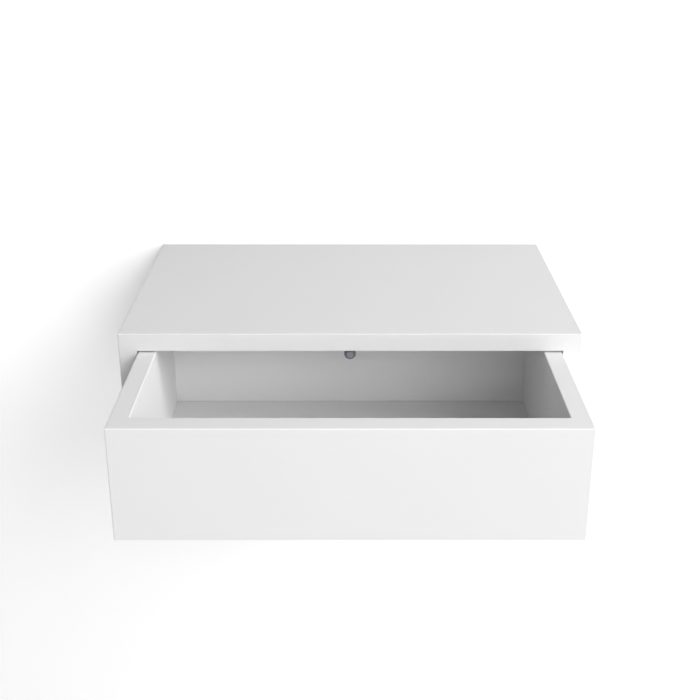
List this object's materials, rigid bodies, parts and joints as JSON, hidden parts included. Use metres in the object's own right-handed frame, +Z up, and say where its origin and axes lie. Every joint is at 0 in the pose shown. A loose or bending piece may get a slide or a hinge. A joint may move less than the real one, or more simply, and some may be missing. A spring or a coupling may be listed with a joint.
{
  "type": "floating nightstand",
  "caption": "Wall-hung nightstand in white faced board: a shallow cabinet with an inset push-to-open drawer, joined by cams and dowels and hung on keyhole plates.",
  "frame": {"origin": "middle of the cabinet's rear face, on the wall plane", "axes": "+Y into the wall, +Z up, the drawer opens towards -Y"},
  "size_m": [0.46, 0.47, 0.15],
  "materials": {
    "white_board": "matt white melamine facing and edge band on particle board",
    "white_hardboard": "white lacquered face, brown rear face",
    "cam_zinc": "die-cast zinc",
    "plated_steel": "zinc plated",
    "beech_dowel": "raw fluted beech",
    "glide_nylon": "smooth nylon",
    "latch_case": "matt grey moulded plastic",
    "latch_plunger": "satin grey moulded plastic",
    "spring_steel": "bright spring wire"
  },
  "bodies": {
    "cabinet": {"top_panel": "white_board", "bottom_panel": "white_board", "left_side_panel": "white_board", "right_side_panel": "white_board", "back_panel": "white_hardboard", "cam_top_left_front": "cam_zinc", "cam_top_left_rear": "cam_zinc", "cam_top_right_front": "cam_zinc", "cam_top_right_rear": "cam_zinc", "cam_bottom_left_front": "cam_zinc", "cam_bottom_left_rear": "cam_zinc", "cam_bottom_right_front": "cam_zinc", "cam_bottom_right_rear": "cam_zinc", "cam_bolt_top_left_front": "plated_steel", "cam_bolt_top_left_rear": "plated_steel", "cam_bolt_top_right_front": "plated_steel", "cam_bolt_top_right_rear": "plated_steel", "cam_bolt_bottom_left_front": "plated_steel", "cam_bolt_bottom_left_rear": "plated_steel", "cam_bolt_bottom_right_front": "plated_steel", "cam_bolt_bottom_right_rear": "plated_steel", "left_keyhole_plate": "plated_steel", "right_keyhole_plate": "plated_steel", "left_plate_screw_upper": "plated_steel", "left_plate_screw_lower": "plated_steel", "right_plate_screw_upper": "plated_steel", "right_plate_screw_lower": "plated_steel", "latch_screw_1": "plated_steel", "latch_screw_2": "plated_steel", "dowel_top_left_front": "beech_dowel", "dowel_top_left_rear": "beech_dowel", "dowel_top_right_front": "beech_dowel", "dowel_top_right_rear": "beech_dowel", "dowel_bottom_left_front": "beech_dowel", "dowel_bottom_left_rear": "beech_dowel", "dowel_bottom_right_front": "beech_dowel", "dowel_bottom_right_rear": "beech_dowel", "left_glide_strip": "glide_nylon", "right_glide_strip": "glide_nylon", "latch_housing": "latch_case", "latch_spring": "spring_steel"},
    "drawer": {"drawer_front": "white_board", "drawer_back": "white_board", "drawer_floor": "white_hardboard", "drawer_left_side": "white_board", "drawer_right_side": "white_board", "drawer_cam_left_upper": "cam_zinc", "drawer_cam_left_lower": "cam_zinc", "drawer_cam_right_upper": "cam_zinc", "drawer_cam_right_lower": "cam_zinc", "drawer_cam_bolt_left_upper": "plated_steel", "drawer_cam_bolt_left_lower": "plated_steel", "drawer_cam_bolt_right_upper": "plated_steel", "drawer_cam_bolt_right_lower": "plated_steel", "drawer_back_screw_left_upper": "plated_steel", "drawer_back_screw_left_lower": "plated_steel", "drawer_back_screw_right_upper": "plated_steel", "drawer_back_screw_right_lower": "plated_steel"},
    "plunger": {"latch_plunger": "latch_plunger"}
  },
  "joints": [
    {"name": "drawer_slide", "type": "slide", "parent": "cabinet", "child": "drawer", "axis": [0, -1, 0], "range_m": [-0.17, 0.0125]},
    {"name": "latch_press", "type": "slide", "parent": "cabinet", "child": "plunger", "axis": [0, 1, 0], "range_m": [0, 0.0017], "stiffness_N_per_m": 800, "deforming": ["latch_spring"]}
  ]
}
